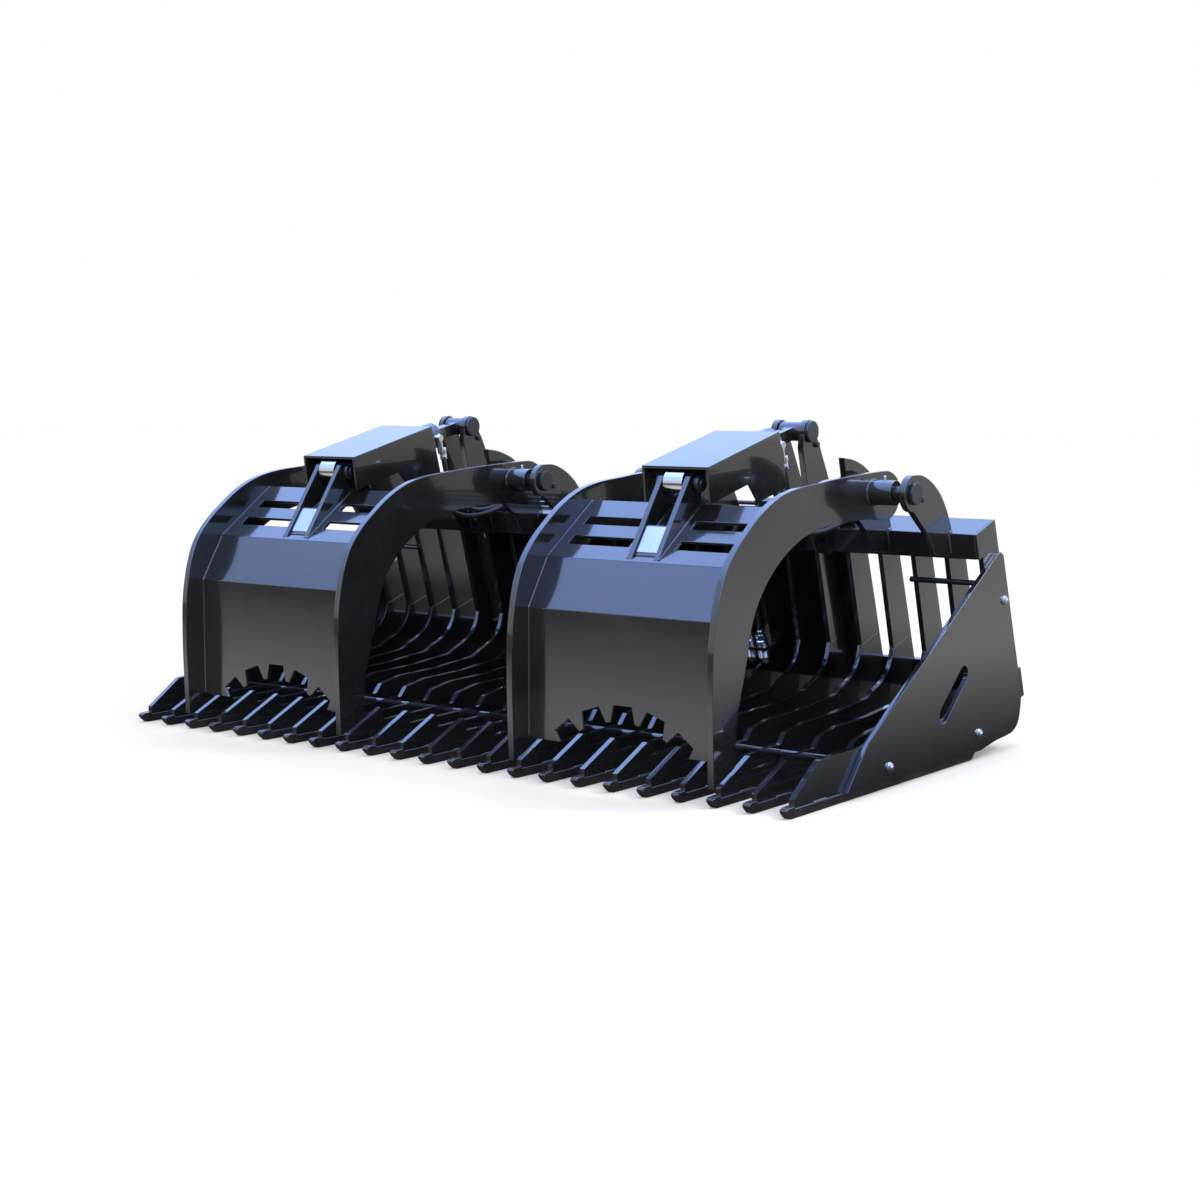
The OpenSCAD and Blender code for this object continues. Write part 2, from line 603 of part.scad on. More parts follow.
floor_tines();
end_tines();
heel_knees();
back_ribs();
tine_runners();
cross_rods();
heel_bar();
side_plate_left();
side_plate_right();
side_plate_bolts();
top_tube();
top_tube_caps();
stub_braces();
mount_plate();
mount_upper_lip();
mount_lower_lip();
mount_side_bars();
left_pivot_ears();
right_pivot_ears();
left_cylinder_tower();
right_cylinder_tower();
pivot_pins();
pin_keeper_bolts();
tower_pins();
hose_blocks();
steel_lines();
supply_hoses();
quick_couplers();
coupler_holster();
left_outer_arm();
left_inner_arm();
left_front_panel();
left_slat_panel();
left_cylinder_lugs();
left_data_plate();
left_lug_pin();
left_pivot_bosses();
right_outer_arm();
right_inner_arm();
right_front_panel();
right_slat_panel();
right_cylinder_lugs();
right_data_plate();
right_lug_pin();
right_pivot_bosses();
left_barrel();
left_gland();
left_cover();
left_cover_brackets();
left_port_fittings();
left_rod();
left_piston();
right_barrel();
right_gland();
right_cover();
right_cover_brackets();
right_port_fittings();
right_rod();
right_piston();
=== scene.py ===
import json
from math import ceil, cos, pi, radians, sin

import bmesh
import bpy
from mathutils import Matrix, Vector
from mathutils.bvhtree import BVHTree
from mathutils.geometry import interpolate_bezier


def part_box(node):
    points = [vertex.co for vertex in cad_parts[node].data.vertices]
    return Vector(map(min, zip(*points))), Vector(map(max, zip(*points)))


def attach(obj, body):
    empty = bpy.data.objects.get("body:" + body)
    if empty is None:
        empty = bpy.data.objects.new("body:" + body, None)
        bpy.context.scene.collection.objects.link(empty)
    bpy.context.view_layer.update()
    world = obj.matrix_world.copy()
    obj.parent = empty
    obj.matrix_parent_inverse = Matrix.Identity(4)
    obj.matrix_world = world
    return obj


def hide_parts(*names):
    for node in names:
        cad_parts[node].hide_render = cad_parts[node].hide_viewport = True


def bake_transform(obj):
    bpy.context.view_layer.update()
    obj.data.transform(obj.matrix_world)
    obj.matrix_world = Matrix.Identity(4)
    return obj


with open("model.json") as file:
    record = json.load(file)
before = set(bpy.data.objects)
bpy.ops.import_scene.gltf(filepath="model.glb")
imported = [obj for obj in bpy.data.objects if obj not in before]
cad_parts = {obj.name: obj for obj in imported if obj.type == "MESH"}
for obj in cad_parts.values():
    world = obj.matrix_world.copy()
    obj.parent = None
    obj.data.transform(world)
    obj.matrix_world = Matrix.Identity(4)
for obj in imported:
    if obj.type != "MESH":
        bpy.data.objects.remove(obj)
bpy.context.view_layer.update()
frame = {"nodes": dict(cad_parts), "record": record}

# ---- Camera ----
# A long lens at hip height, off the right front corner of the bucket.
eye = Vector((3.0352, -3.8727, 0.8640))
turned = radians(37.0)
dipped = radians(6.11)
lens_length = 59.358
looking = Vector((-sin(turned) * cos(dipped), cos(turned) * cos(dipped), -sin(dipped)))
camera = bpy.data.objects.new("camera", bpy.data.cameras.new("camera"))
camera.data.sensor_width = 36.0
camera.data.lens = lens_length
camera.location = eye
camera.rotation_mode = "QUATERNION"
camera.rotation_quaternion = looking.to_track_quat("-Z", "Y")
bpy.context.collection.objects.link(camera)
bpy.context.scene.camera = camera

# ---- Studio ----
# A seamless pale floor and backdrop. Polished paint mirrors a tall dome that is grey near the horizon
# and clear blue above, so upright faces stay neutral and the tops turn blue.
def node_of(tree, kind, inputs, **settings):
    """A shader node with its inputs linked or set."""
    made = tree.nodes.new("ShaderNode" + kind)
    for key, value in settings.items():
        setattr(made, key, value)
    for key, value in inputs.items():
        if isinstance(value, bpy.types.NodeSocket):
            tree.links.new(value, made.inputs[key])
        else:
            made.inputs[key].default_value = value
    return made


bpy.context.scene.view_settings.view_transform = "Standard"
world = bpy.data.worlds.new("studio")
bpy.context.scene.world = world
world.use_nodes = True
tree = world.node_tree
tree.nodes.clear()
height = node_of(tree, "SeparateXYZ", {0: node_of(tree, "TexCoord", {}).outputs["Generated"]})
dome = node_of(tree, "ValToRGB", {"Fac": height.outputs["Z"]})
dome_strength = 4.3
bands = [(0.0, (0.20, 0.195, 0.185)), (0.05, (0.22, 0.215, 0.205)), (0.20, (0.20, 0.225, 0.27)),
         (0.42, (0.22, 0.31, 0.52)), (0.56, (0.19, 0.28, 0.50)), (0.67, (0.28, 0.42, 0.84)),
         (0.80, (0.32, 0.48, 1.0)), (0.90, (0.30, 0.45, 1.0)), (1.0, (0.17, 0.28, 0.66))]
dome.color_ramp.elements[0].position = bands[0][0]
dome.color_ramp.elements[1].position = bands[-1][0]
for at, _ in bands[1:-1]:
    dome.color_ramp.elements.new(at)
for element, (_, colour) in zip(dome.color_ramp.elements, bands):
    element.color = (*colour, 1)
seen = node_of(tree, "Background", {"Color": (1, 1, 1, 1), "Strength": 1.0})
mirrored = node_of(tree, "Background", {"Color": dome.outputs["Color"], "Strength": dome_strength})
choose = node_of(tree, "MixShader", {0: node_of(tree, "LightPath", {}).outputs["Is Glossy Ray"],
                                     1: seen.outputs[0], 2: mirrored.outputs[0]})
node_of(tree, "OutputWorld", {"Surface": choose.outputs[0]})

floor_reach = 30
bm = bmesh.new()
bmesh.ops.create_grid(bm, x_segments=1, y_segments=1, size=floor_reach)
floor = bpy.data.objects.new("floor", bpy.data.meshes.new("floor"))
bm.to_mesh(floor.data)
bm.free()
bpy.context.collection.objects.link(floor)
floor_paint = bpy.data.materials.new("pale_floor")
floor_paint.use_nodes = True
tree = floor_paint.node_tree
floor_shader = tree.nodes["Principled BSDF"]
floor_shader.inputs["Base Color"].default_value = (1.0, 1.0, 1.0, 1)
floor_shader.inputs["Roughness"].default_value = 1.0
floor_shader.inputs["Specular IOR Level"].default_value = 0.0
# Glossy rays see the floor painted with shade instead of plain white. The painted shade grows darker further
# ahead of the bucket. There is a painted shadow beneath the bucket. Beside its +X side there is a painted
# shadow that lightens outward.
spot = node_of(tree, "SeparateXYZ", {0: node_of(tree, "TexCoord", {}).outputs["Object"]}).outputs
shade_ahead = node_of(tree, "MapRange", {"Value": spot["Y"], "From Min": -3.0, "From Max": -1.1,
                                   "To Min": 0.11, "To Max": 0.85})
beside = node_of(tree, "MapRange", {"Value": spot["X"], "From Min": 1.05, "From Max": 1.9,
                                    "To Min": 0.04, "To Max": 0.44})
split = node_of(tree, "MapRange", {"Value": spot["X"], "From Min": 0.98, "From Max": 1.02})
shadow_beneath = node_of(tree, "MapRange", {"Value": spot["Y"], "From Min": -0.95, "From Max": -0.6,
                                     "To Min": 1.0, "To Max": 0.12})
shade_in_front = node_of(tree, "Math", {0: shade_ahead.outputs[0], 1: shadow_beneath.outputs[0]}, operation="MULTIPLY")
painted_ground_shade = node_of(tree, "Mix", {0: split.outputs[0], 2: shade_in_front.outputs[0], 3: beside.outputs[0]})
ground = node_of(tree, "BsdfDiffuse", {"Color": painted_ground_shade.outputs[0]})
floor_mix = node_of(tree, "MixShader", {0: node_of(tree, "LightPath", {}).outputs["Is Glossy Ray"],
                                        1: floor_shader.outputs[0], 2: ground.outputs[0]})
tree.links.new(floor_mix.outputs[0], tree.nodes["Material Output"].inputs["Surface"])
floor.data.materials.append(floor_paint)

for name, place, watts, size in [("key", (1.2, -4.6, 3.4), 55, 1.6), ("rim", (3.4, 2.2, 3.6), 60, 1.4)]:
    lamp = bpy.data.objects.new(name, bpy.data.lights.new(name, "AREA"))
    lamp.data.energy = watts
    lamp.data.size = size
    lamp.location = place
    lamp.rotation_mode = "QUATERNION"
    lamp.rotation_quaternion = (Vector((0, 0, 0.3)) - Vector(place)).to_track_quat("-Z", "Y")
    bpy.context.collection.objects.link(lamp)


# ---- Black enamel plates ----
# Nearly every plate is flame-cut steel, ground at its edges, welded up and sprayed with gloss black
# enamel. The paint has a fine orange peel, slow waves, faint dusty smears and a wet-looking top.
record = frame["record"]
joints = {joint["name"]: joint for joint in record["behaviour"]["joints"]}
body_with = {node: body for body, nodes in record["behaviour"]["bodies"].items() for node in nodes}
edge_roll = 0.0014
merge_gap = 0.00002
flat_angle = radians(0.3)
sharp_angle = radians(27)
crisp_angle = radians(50)


def socket(group, name, kind, way, value=None):
    """An input or output on a node group, with its starting value."""
    made = group.interface.new_socket(name=name, in_out=way, socket_type="NodeSocket" + kind)
    if value is not None:
        made.default_value = value


sprayed = bpy.data.node_groups.new("sprayed_surface", "ShaderNodeTree")
socket(sprayed, "Colour", "Color", "INPUT", (0.01, 0.011, 0.014, 1))
socket(sprayed, "Dust colour", "Color", "INPUT", (0.12, 0.115, 0.11, 1))
socket(sprayed, "Dust", "Float", "INPUT", 0.10)
socket(sprayed, "Gloss low", "Float", "INPUT", 0.12)
socket(sprayed, "Gloss high", "Float", "INPUT", 0.26)
socket(sprayed, "Peel", "Float", "INPUT", 0.12)
socket(sprayed, "Waves", "Float", "INPUT", 1.6)
socket(sprayed, "Colour", "Color", "OUTPUT")
socket(sprayed, "Roughness", "Float", "OUTPUT")
socket(sprayed, "Height", "Float", "OUTPUT")
given = sprayed.nodes.new("NodeGroupInput").outputs
place = sprayed.nodes.new("ShaderNodeTexCoord").outputs["Object"]
smears = node_of(sprayed, "TexNoise", {"Vector": place, "Scale": 5.5, "Detail": 6.0, "Roughness": 0.62,
                                       "Distortion": 0.6})
specks = node_of(sprayed, "TexNoise", {"Vector": place, "Scale": 95.0, "Detail": 3.0})
peel = node_of(sprayed, "TexNoise", {"Vector": place, "Scale": 230.0, "Detail": 2.0})
waves = node_of(sprayed, "TexNoise", {"Vector": place, "Scale": 11.0, "Detail": 2.0})
smear_mask = node_of(sprayed, "MapRange", {"Value": smears.outputs["Fac"], "From Min": 0.46,
                                           "From Max": 0.72})
speck_mask = node_of(sprayed, "MapRange", {"Value": specks.outputs["Fac"], "From Min": 0.55, "From Max": 0.75,
                                           "To Min": 0.35})
mask = node_of(sprayed, "Math", {0: smear_mask.outputs[0], 1: speck_mask.outputs[0]}, operation="MULTIPLY")
dust = node_of(sprayed, "Math", {0: mask.outputs[0], 1: given["Dust"]}, operation="MULTIPLY")
tint = node_of(sprayed, "Mix", {0: dust.outputs[0], 6: given["Colour"], 7: given["Dust colour"]},
               data_type="RGBA")
gloss = node_of(sprayed, "MapRange", {"Value": smears.outputs["Fac"], "From Min": 0.35, "From Max": 0.75,
                                      "To Min": given["Gloss low"], "To Max": given["Gloss high"]})
fine = node_of(sprayed, "Math", {0: peel.outputs["Fac"], 1: given["Peel"]}, operation="MULTIPLY")
relief = node_of(sprayed, "Math", {0: waves.outputs["Fac"], 1: given["Waves"], 2: fine.outputs[0]},
                 operation="MULTIPLY_ADD")
result = sprayed.nodes.new("NodeGroupOutput")
sprayed.links.new(tint.outputs[2], result.inputs["Colour"])
sprayed.links.new(gloss.outputs[0], result.inputs["Roughness"])
sprayed.links.new(relief.outputs[0], result.inputs["Height"])


def coated(name, colour, coat=0.0, metallic=0.0, depth=0.0005, **values):
    """A material that takes its colour, gloss and relief from the sprayed surface."""
    made = bpy.data.materials.new(name)
    made.use_nodes = True
    tree = made.node_tree
    shader = tree.nodes["Principled BSDF"]
    surface = tree.nodes.new("ShaderNodeGroup")
    surface.node_tree = sprayed
    surface.inputs["Colour"].default_value = (*colour, 1)
    for key, value in values.items():
        surface.inputs[key.replace("_", " ")].default_value = value
    tree.links.new(surface.outputs["Colour"], shader.inputs["Base Color"])
    tree.links.new(surface.outputs["Roughness"], shader.inputs["Roughness"])
    relief = node_of(tree, "Bump", {"Height": surface.outputs["Height"], "Strength": 0.5, "Distance": depth})
    tree.links.new(relief.outputs[0], shader.inputs["Normal"])
    shader.inputs["Metallic"].default_value = metallic
    shader.inputs["Coat Weight"].default_value = coat
    shader.inputs["Coat Roughness"].default_value = 0.05
    return made


def shown(name, bm, material, body, *nodes, slot=None):
    """A piece from a bmesh: it rides on a body and stands for the CAD nodes named, if any."""
    mesh = bpy.data.meshes.new(name)
    bm.to_mesh(mesh)
    bm.free()
    mesh.materials.append(material)
    piece = bpy.data.objects.new(name, mesh)
    bpy.context.collection.objects.link(piece)
    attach(piece, body)
    if nodes:
        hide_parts(*nodes)
    return piece


def whole(node):
    """The node's own mesh with its seams closed and its flat faces made whole."""
    bm = bmesh.new()
    bm.from_mesh(frame["nodes"][node].data)
    bmesh.ops.remove_doubles(bm, verts=bm.verts, dist=merge_gap)
    bmesh.ops.dissolve_limit(bm, angle_limit=flat_angle, verts=bm.verts, edges=bm.edges)
    return bm


def smoothed(bm, angle=pi):
    """Shades the faces smooth, with every edge that turns more than the angle left crisp."""
    for face in bm.faces:
        face.smooth = True
    for edge in bm.edges:
        edge.smooth = not edge.is_manifold or edge.calc_face_angle(0) < angle


def rounded(bm, width, segments=2):
    """Rolls the sharp edges over and smooths what curves."""
    sharp = [e for e in bm.edges if e.is_manifold and e.calc_face_angle(0) > sharp_angle]
    bmesh.ops.bevel(bm, geom=sharp, offset=width, offset_type="OFFSET", affect="EDGES", segments=segments,
                    profile=0.5, material=-1, clamp_overlap=True)
    smoothed(bm, crisp_angle)


def finished(node, material, width=edge_roll, segments=2):
    """The CAD node itself, with its edges rolled over and its material on."""
    bm = whole(node)
    rounded(bm, width, segments)
    piece = shown(node + "_finished", bm, material, body_with[node], node)
    piece.modifiers.new("flats stay flat", "WEIGHTED_NORMAL").keep_sharp = True


enamel = coated("black_enamel", (0.010, 0.011, 0.014), coat=1.0)
for node in ["floor_tines", "end_tines", "heel_knees", "back_ribs", "side_plate_left", "side_plate_right",
             "heel_bar", "cross_rods", "stub_braces", "top_tube_caps", "mount_plate", "mount_upper_lip",
             "mount_lower_lip", "mount_side_bars", "coupler_holster"]:
    finished(node, enamel)
for side in ["left", "right"]:
    for node in ["pivot_ears", "cylinder_tower", "outer_arm", "inner_arm", "front_panel", "slat_panel",
                 "cylinder_lugs", "pivot_bosses", "cover", "cover_brackets", "barrel"]:
        finished(f"{side}_{node}", enamel)

# ---- Top tube ----
# Rolled rectangular tube: its long corners have a wide soft radius from the mill.
finished("top_tube", enamel, 0.006, 4)

# ---- Runners ----
# Hard flat bars under the tines. They meet the ground first, so their paint is duller and dusty.
runner_enamel = coated("runner_enamel", (0.012, 0.0125, 0.016), coat=0.6, Dust=0.4, Gloss_low=0.2,
                       Gloss_high=0.4)
finished("tine_runners", runner_enamel, 0.002)

# ---- Welds ----
# Rippled beads wherever one plate butts on another, painted over with the rest. Long joints are
# stitched; short ones run right through and around the ends.
bead_step = 0.0028
bead_sides = 7
weld_gap = 0.0005
tried_shares = (0.02, 0.35, 0.65, 0.98)
closed_gap = 0.000005
longest_bend = radians(40)


def swept(bm, path, radius_at, sides):
    """A closed round tube along a path, its radius given at each point; a zero radius closes an end."""
    count = len(path)
    made = bmesh.ops.create_grid(bm, x_segments=count - 1, y_segments=sides, size=0.5)["verts"]
    rings = []
    across = None
    for i, point in enumerate(path):
        along = (path[min(i + 1, count - 1)] - path[max(i - 1, 0)]).normalized()
        across = along.orthogonal() if across is None else across - across.dot(along) * along
        across.normalize()
        rings.append((point, across.copy(), along.cross(across), radius_at(i)))
    for vert in made:
        point, across, up, radius = rings[round((vert.co.x + 0.5) * (count - 1))]
        turn = -2 * pi * round((vert.co.y + 0.5) * sides) / sides
        vert.co = point + radius * (cos(turn) * across + sin(turn) * up)
    bmesh.ops.remove_doubles(bm, verts=made, dist=closed_gap)


def spaced(points, step):
    """The same line with a point every step."""
    lengths = [(b - a).length for a, b in zip(points, points[1:])]
    total = sum(lengths)
    count = max(2, ceil(total / step))
    line, leg, gone = [], 0, 0.0
    for i in range(count + 1):
        want = total * i / count
        while leg < len(lengths) - 1 and gone + lengths[leg] < want:
            gone += lengths[leg]
            leg += 1
        line.append(points[leg].lerp(points[leg + 1], min(1.0, (want - gone) / lengths[leg])))
    return line


def bead(bm, points, radius):
    """One weld bead, rippled along its length and closed at both ends."""
    line = spaced(points, bead_step)
    last = len(line) - 1
    ends = {0: 0.0, last: 0.0, 1: 0.8, last - 1: 0.8}
    swept(bm, line, lambda i: radius * ends.get(i, 1.0 if i % 2 else 0.84), bead_sides)


def seams(node, onto):
    """Lines where the sharp edges of a node lie on the node it is welded to.

    Edges that lie within the weld's gap are gathered first. Each line then grows from both of its ends,
    through whichever edge goes on nearly straight.
    """
    bm = whole(node)
    met = whole(onto)
    target = BVHTree.FromBMesh(met)
    met.free()
    lying = []
    for edge in bm.edges:
        a, b = (v.co for v in edge.verts)
        if edge.is_manifold and edge.calc_face_angle(0) > sharp_angle:
            if all(target.find_nearest(a.lerp(b, share), weld_gap)[0] is not None for share in tried_shares):
                lying.append(edge)
    lines = []
    left = set(lying)
    while left:
        edge = left.pop()
        chain = [edge.verts[0], edge.verts[1]]
        for end in (0, 1):
            growing = True
            while growing:
                tip, before = (chain[-1], chain[-2]) if end else (chain[0], chain[1])
                growing = False
                for other in [e for e in tip.link_edges if e in left]:
                    after = other.other_vert(tip)
                    if (tip.co - before.co).angle(after.co - tip.co, pi) < longest_bend:
                        left.discard(other)
                        chain.insert(len(chain) if end else 0, after)
                        growing = after is not chain[0] or not end
                        break
        lines.append([v.co.copy() for v in chain])
    bm.free()
    return lines


def part_of(points, start, end):
    """The stretch of a line between two shares of its length."""
    line = spaced(points, 0.002)
    last = len(line) - 1
    return line[round(start * last):round(end * last) + 1]


def welded(name, body, pairs, radius, shortest=0.02, stitch=None, keep=None):
    """Beads along every seam between the pairs of nodes; a stitch is (its length, the spacing)."""
    bm = bmesh.new()
    for node, onto in pairs:
        for line in seams(node, onto):
            length = sum((b - a).length for a, b in zip(line, line[1:]))
            if length < shortest or (keep and not keep(line)):
                continue
            if stitch is None or length < 2 * stitch[1]:
                bead(bm, line, radius)
                continue
            count = round(length / stitch[1])
            for i in range(count):
                middle = (i + 0.5) / count
                half = stitch[0] / length / 2
                bead(bm, part_of(line, middle - half, middle + half), radius)
    smoothed(bm)
    bmesh.ops.recalc_face_normals(bm, faces=bm.faces)
    shown(name, bm, weld_enamel, body, slot="black_paint")


weld_enamel = coated("weld_enamel", (0.011, 0.012, 0.015), coat=1.0, Gloss_low=0.2, Gloss_high=0.34, Peel=0.6)
welded("tine_welds", "bucket", [("floor_tines", "tine_runners"), ("end_tines", "tine_runners")], 0.0030,
       stitch=(0.055, 0.19), keep=lambda line: abs(line[0].y - line[-1].y) > 0.3)
welded("rib_welds", "bucket", [("back_ribs", "top_tube"), ("heel_knees", "heel_bar")], 0.0032, shortest=0.03)
welded("side_welds", "bucket", [("heel_bar", "side_plate_left"), ("heel_bar", "side_plate_right"),
                                ("mount_upper_lip", "mount_plate"), ("mount_side_bars", "mount_plate")],
       0.0035, stitch=(0.06, 0.16))
for side in ["left", "right"]:
    welded(f"{side}_ear_welds", "bucket",
           [(f"{side}_{stand}", "top_tube") for stand in ["pivot_ears", "cylinder_tower"]], 0.0042,
           shortest=0.012)
    welded(f"{side}_panel_welds", f"{side}_grapple",
           [(f"{side}_{panel}", f"{side}_{arm}") for panel in ["front_panel", "slat_panel"]
            for arm in ["outer_arm", "inner_arm"]], 0.0034, shortest=0.03)
    welded(f"{side}_lug_welds", f"{side}_grapple", [(f"{side}_cylinder_lugs", f"{side}_slat_panel")], 0.0036)
    welded(f"{side}_boss_welds", f"{side}_grapple",
           [(f"{side}_pivot_bosses", f"{side}_{arm}") for arm in ["outer_arm", "inner_arm"]], 0.0036,
           keep=lambda line: (max(p.z for p in line) - min(p.z for p in line)) > 0.04)

# ---- Pins ----
# Turned pins with a flat round head, blackened against rust.
blackened = coated("blackened_steel", (0.035, 0.042, 0.055), coat=0.3, metallic=0.7, Dust=0.05,
                   Gloss_low=0.22, Gloss_high=0.4)
for node in ["pivot_pins", "tower_pins", "left_lug_pin", "right_lug_pin"]:
    finished(node, blackened, 0.0018, 3)

# ---- Side plate bolts ----
# Zinc-plated hex bolts on washers at each side plate; the upper pair goes right through to a nut.
zinc = coated("zinc_plate", (0.62, 0.64, 0.67), metallic=1.0, Dust=0.25, Gloss_low=0.24, Gloss_high=0.42)


def boxes_of(node):
    """(lowest corner, highest corner) of each separate solid of a node."""
    bm = whole(node)
    left, found = set(bm.verts), []
    while left:
        solid, fresh = set(), {left.pop()}
        while fresh:
            solid |= fresh
            fresh = {e.other_vert(v) for v in fresh for e in v.link_edges} - solid
        left -= solid
        corners = [[pick(v.co[axis] for v in solid) for axis in range(3)] for pick in (min, max)]
        found.append(tuple(Vector(corner) for corner in corners))
    bm.free()
    return found


def facing(point, direction):
    """A place at the point whose Z axis looks along the direction."""
    return Matrix.Translation(point) @ Vector(direction).to_track_quat("Z", "Y").to_matrix().to_4x4()


def turned_solid(bm, profile, place, steps=32):
    """A lathe-turned solid: (radius, height) points, in millimetres, spun about the place's Z axis."""
    line = [bm.verts.new(place @ (Vector((r, 0, h)) / 1000)) for r, h in profile]
    edges = [bm.edges.new(pair) for pair in zip(line, line[1:])]
    before = set(bm.verts) - set(line)
    bmesh.ops.spin(bm, geom=line + edges, cent=place.translation, axis=place.to_3x3().col[2], dvec=(0, 0, 0),
                   angle=2 * pi, steps=steps, use_merge=True, use_duplicate=False)
    bmesh.ops.remove_doubles(bm, verts=list(set(bm.verts) - before), dist=closed_gap)


def chamfered(bm, made, width):
    """Takes the corners off a solid that was just made."""
    bmesh.ops.bevel(bm, geom=list({e for v in made for e in v.link_edges}), offset=width,
                    offset_type="OFFSET", affect="EDGES", segments=2, profile=0.5, material=-1,
                    clamp_overlap=True)


def hexagon(bm, radius, low, high, place, chamfer=0.8):
    """A hex nut or head between two heights, in millimetres, along the place's Z axis."""
    at = place @ Matrix.Translation((0, 0, (low + high) / 2000))
    made = bmesh.ops.create_cone(bm, cap_ends=True, segments=6, radius1=radius / 1000, radius2=radius / 1000,
                                 depth=(high - low) / 1000, matrix=at)["verts"]
    chamfered(bm, made, chamfer / 1000)


machined_angle = radians(32)


def machined(name, bm, material, body, *nodes, slot=None):
    """A piece of turned and hexagonal solids, its curves smooth and its corners crisp."""
    bmesh.ops.recalc_face_normals(bm, faces=bm.faces)
    smoothed(bm, machined_angle)
    shown(name, bm, material, body, *nodes, slot=slot)


washer_depth = 0.007
bolt_end = [(0, 6.4), (4.6, 6.4), (4.6, 8.2), (4.0, 9.0), (0, 9.0)]
bm = bmesh.new()
for low, high in boxes_of("side_plate_bolts"):
    outward = 1 if low.x > 0 else -1
    middle = (low + high) / 2
    outer = high.x if outward > 0 else low.x
    seat = facing((outer - outward * washer_depth, middle.y, middle.z), (outward, 0, 0))
    turned_solid(bm, [(0, -1), (12, -1), (12, 1.6), (11.4, 2.1), (0, 2.1)], seat)
    hexagon(bm, 10.2, 1.6, 6.8, seat)
    turned_solid(bm, bolt_end, seat, 20)
    reach = (high.x - low.x - washer_depth) * 1000
    if reach > 5:
        turned_solid(bm, [(0, -reach), (7.2, -reach), (8, 1 - reach), (8, 0), (0, 0)], seat, 20)
        hexagon(bm, 12.8, 3 - reach, 12 - reach, seat)
machined("side_plate_bolts_made", bm, zinc, "bucket", "side_plate_bolts")

# ---- Pin keepers ----
# Black bolts beside each pin head keep the pins from turning.
finished("pin_keeper_bolts", blackened, 0.001)

# ---- Grease nipples ----
# A zinc nipple screwed into each pivot boss, at the top where a grease gun reaches it.
nipple = [(0, -1), (4.4, -1), (4.4, 3), (2.6, 3.6), (2.6, 6), (3.4, 6.8), (3.4, 8.2), (2.2, 9.6), (0, 9.8)]
for side in ["left", "right"]:
    bm = bmesh.new()
    for low, high in boxes_of(f"{side}_pivot_bosses"):
        top = facing(((low.x + high.x) / 2, (low.y + high.y) / 2, high.z), (0, 0, 1))
        turned_solid(bm, nipple, top, 16)
    machined(f"{side}_grease_nipples", bm, zinc, f"{side}_grapple", slot="zinc_fasteners")

# ---- Cylinder insides ----
# Hard-chromed rod with a forged eye, a turned gland and a turned piston.
chrome = coated("hard_chrome", (0.56, 0.57, 0.60), metallic=1.0, Dust=0.1, Gloss_low=0.10, Gloss_high=0.2,
                Waves=0.0)
turned_steel = coated("turned_steel", (0.42, 0.43, 0.45), metallic=1.0, Dust=0.05, Gloss_low=0.25,
                      Gloss_high=0.4)
for side in ["left", "right"]:
    finished(f"{side}_rod", chrome)
    finished(f"{side}_gland", turned_steel)
    finished(f"{side}_piston", turned_steel)

# ---- Hose blocks and lines ----
# Drilled satin-black blocks on the top tube, joined by two painted steel lines.
satin = coated("satin_black", (0.018, 0.019, 0.022), coat=0.4, Gloss_low=0.25, Gloss_high=0.45)
finished("hose_blocks", satin, 0.0015)
finished("steel_lines", satin, 0.0008)

# ---- Line clamps ----
# Bolted blocks on the top tube hold the two steel lines down, one line above the other.
lean = radians(18)
up_back = Vector((0, -sin(lean), cos(lean)))
off_back = Vector((0, cos(lean), sin(lean)))


def furthest(node, direction, keep=lambda point: True):
    """How far a node reaches along a direction."""
    return max(vert.co.dot(direction) for vert in frame["nodes"][node].data.vertices if keep(vert.co))


tube_level = furthest("top_tube", up_back)
tube_rear = furthest("top_tube", off_back)
line_inset = 0.012
clamp_size = Vector((0.024, 0.017, 0.029))
clamp_places = (-0.27, -0.02, 0.22, 0.50)
bm = bmesh.new()
for x in clamp_places:
    foot = Vector((x, 0, 0)) + off_back * (tube_rear - line_inset) + up_back * tube_level
    at = facing(foot, up_back)
    block = Matrix.LocRotScale(foot + up_back * clamp_size.z / 2, Matrix.Rotation(lean, 3, "X"), clamp_size)
    made = bmesh.ops.create_cube(bm, size=1, matrix=block)["verts"]
    chamfered(bm, made, 0.0015)
    hexagon(bm, 6, 28.5, 33, at, 0.5)
machined("line_clamps", bm, satin, "bucket", slot="block_steel")

# ---- Barrel fittings ----
# Nickel-plated elbows on the barrels, each with a collar at the barrel and a crimped hose end below.
plated = coated("plated_fitting", (0.66, 0.67, 0.70), metallic=1.0, Dust=0.15, Gloss_low=0.16,
                Gloss_high=0.34)
port_radius = 0.009
elbow_inset = 0.0095
elbow_drop = 0.042
hose_ferrule = [(0, -2), (9.4, -2), (9.8, 0), (9.2, 2), (9.8, 4), (9.2, 6), (9.8, 8), (9.2, 10), (9.6, 14),
                (8, 16), (0, 16)]
elbow_ends = {}
for side in ["left", "right"]:
    finished(f"{side}_port_fittings", plated, 0.001)
    axis = Vector(joints[f"{side}_rod_slide"]["axis"]).normalized()
    down = Vector((0, axis.z, -axis.y))
    bm = bmesh.new()
    elbow_ends[side] = []
    for low, high in boxes_of(f"{side}_port_fittings"):
        shoulder = Vector((high.x - elbow_inset, high.y - port_radius, high.z - port_radius))
        end = shoulder + down * elbow_drop
        elbow_ends[side].append(end)
        collar = facing((low.x, shoulder.y, shoulder.z), (1, 0, 0))
        hexagon(bm, 12, 0.8, 6.5, collar)
        nut = facing(end, down)
        hexagon(bm, 11, -16, -2, nut)
        turned_solid(bm, hose_ferrule, nut, 24)
    machined(f"{side}_hose_ends", bm, plated, f"{side}_cylinder", slot="plated_fittings")

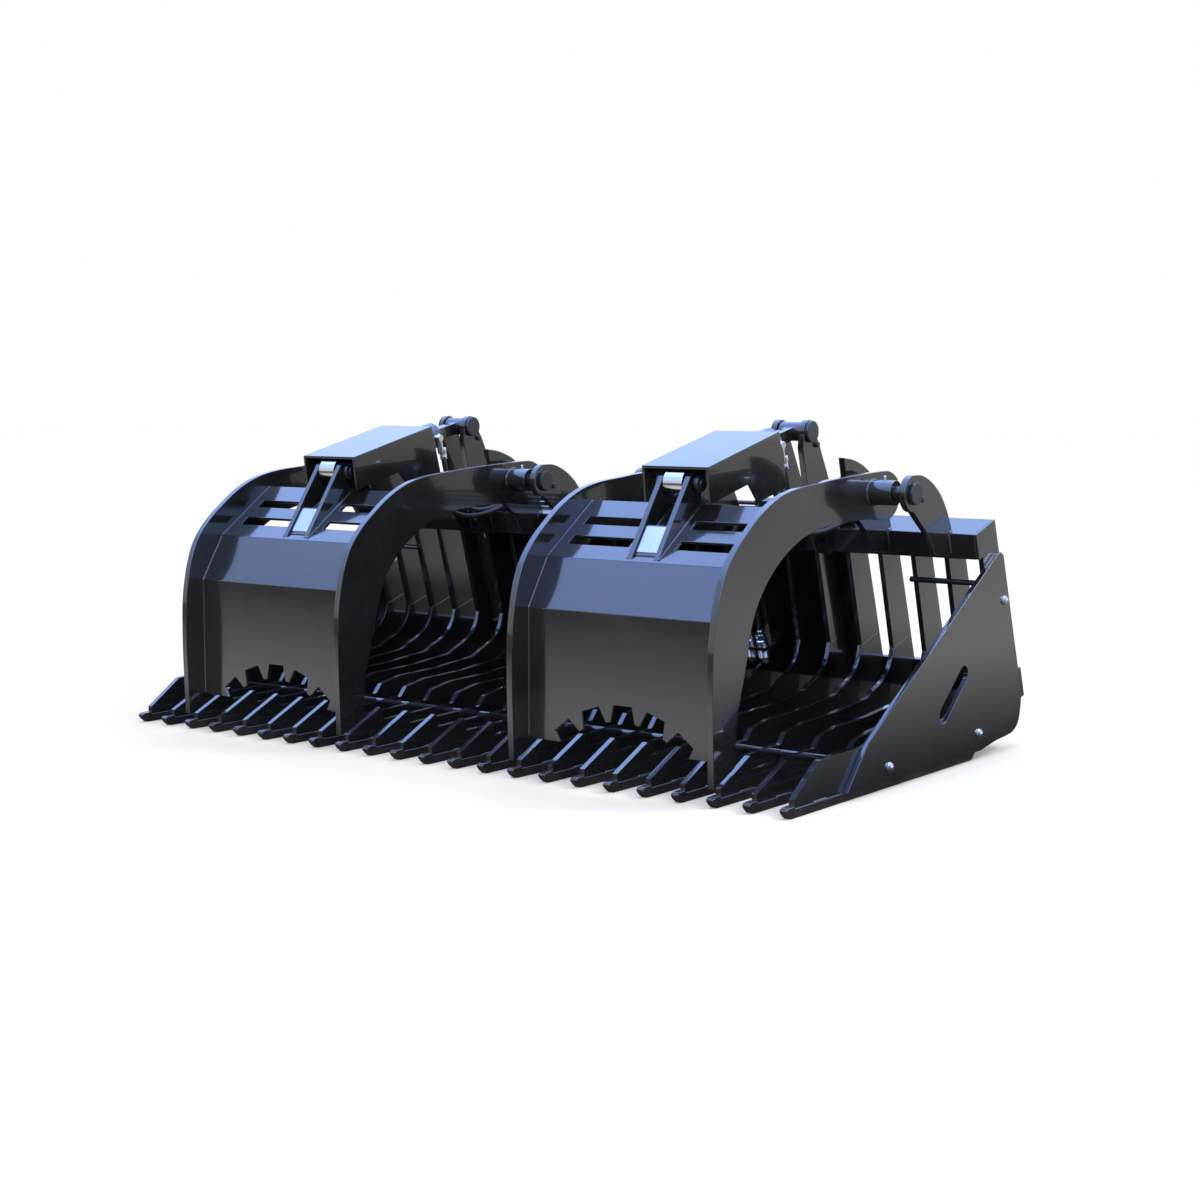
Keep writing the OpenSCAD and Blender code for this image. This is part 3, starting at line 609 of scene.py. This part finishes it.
# ---- Cylinder hoses ----
# Two short hoses from each block swing up to the barrel's elbows, with slack for the stroke.
rubber = coated("hose_rubber", (0.012, 0.012, 0.013), Dust=0.2, Gloss_low=0.5, Gloss_high=0.7)
hose_radius = 0.0065
hose_sides = 16
hose_points = 60
hole_places = (0.012, 0.034)
mouth_depth = 0.016
block_ferrule = [(0, 9), (8, 9), (8.6, 11), (8, 13), (8.6, 15), (8, 17), (8, 20), (0, 20)]
crimp_depth = 0.012
block_boxes = {"left": min(boxes_of("hose_blocks"), key=lambda b: b[0].x),
               "right": max(boxes_of("hose_blocks"), key=lambda b: b[0].x)}
for side in ["left", "right"]:
    low, high = block_boxes[side]
    front = -furthest("hose_blocks", -off_back)
    middle = (furthest("hose_blocks", up_back) + tube_level) / 2
    fittings = bmesh.new()
    for number, (hole, end) in enumerate(zip(hole_places, sorted(elbow_ends[side], key=lambda e: -e.y))):
        mouth = Vector((low.x + hole, 0, 0)) + off_back * front + up_back * middle
        seat = facing(mouth, -off_back)
        hexagon(fittings, 9, 0, 9, seat)
        turned_solid(fittings, block_ferrule, seat, 24)
        start = mouth - off_back * mouth_depth
        finish = end + down * crimp_depth
        reach = 0.13 + 0.035 * number
        route = interpolate_bezier(start, start - off_back * reach, finish + down * reach, finish,
                                   hose_points)
        last = len(route) - 1
        bm = bmesh.new()
        swept(bm, route, lambda i: 0.0 if i in (0, last) else hose_radius, hose_sides)
        bmesh.ops.recalc_face_normals(bm, faces=bm.faces)
        smoothed(bm)
        mesh = bpy.data.meshes.new(f"{side}_cylinder_hose_{number}")
        bm.to_mesh(mesh)
        bm.free()
        mesh.materials.append(rubber)
        hose = bpy.data.objects.new(mesh.name, mesh)
        bpy.context.collection.objects.link(hose)
        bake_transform(hose)
    machined(f"{side}_block_fittings", fittings, plated, "bucket", slot="plated_fittings")

# ---- Supply hoses ----
# Wrapped rubber hose from the tee block, over the tube and down to the couplers.
finished("supply_hoses", rubber, 0.0005)

# ---- Quick couplers ----
# Two plated couplers hang in the holster: a knurled sleeve over a grooved body, and a hex at the hose.
sleeve = [(0, 0), (10, 0), (11, 1), (11, 9), (12.4, 10), (12.4, 13), (14.2, 14), (15, 15)]
for k in range(12):
    sleeve += [(15, 16 + 2 * k), (14.4, 17 + 2 * k)]
sleeve += [(15, 41), (15, 42), (13, 43.5), (13, 48), (14.6, 49), (14.6, 60), (12, 62), (12, 67), (0, 67)]
bm = bmesh.new()
coupler_half = 0.040
for low, high in boxes_of("quick_couplers"):
    foot = facing((low + high) / 2 - up_back * coupler_half, up_back)
    turned_solid(bm, sleeve, foot, 40)
    hexagon(bm, 13.6, 66.5, 77, foot)
    turned_solid(bm, [(0, 77), (9.6, 77), (9.6, 86), (8.2, 88), (0, 88)], foot, 28)
machined("quick_couplers_made", bm, plated, "bucket", "quick_couplers")

# ---- Data plates ----
# A blank brushed plate between each pair of lugs.
plate_tilt = radians(55)
plate_skin = 0.0007
up_plate = Vector((0, cos(plate_tilt), sin(plate_tilt)))
off_plate = Vector((0, -sin(plate_tilt), cos(plate_tilt)))
rivet_spots = [Vector((x, 0, 0)) + up_plate * y for x in (-0.021, 0.021) for y in (-0.027, 0.027)]
rivet = [(0, -0.4), (2.4, -0.4), (2.2, 0.4), (1.4, 0.9), (0, 1.1)]
blank = coated("blank_plate", (0.46, 0.48, 0.52), metallic=0.9, Dust=0.3, Gloss_low=0.28, Gloss_high=0.42)
for side in ["left", "right"]:
    finished(f"{side}_data_plate", blank, 0.0003)
    low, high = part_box(f"{side}_data_plate")
    bm = bmesh.new()
    for spot in rivet_spots:
        turned_solid(bm, rivet, facing((low + high) / 2 + spot + off_plate * plate_skin, off_plate), 16)
    machined(f"{side}_plate_rivets", bm, zinc, f"{side}_grapple", slot="data_plate")
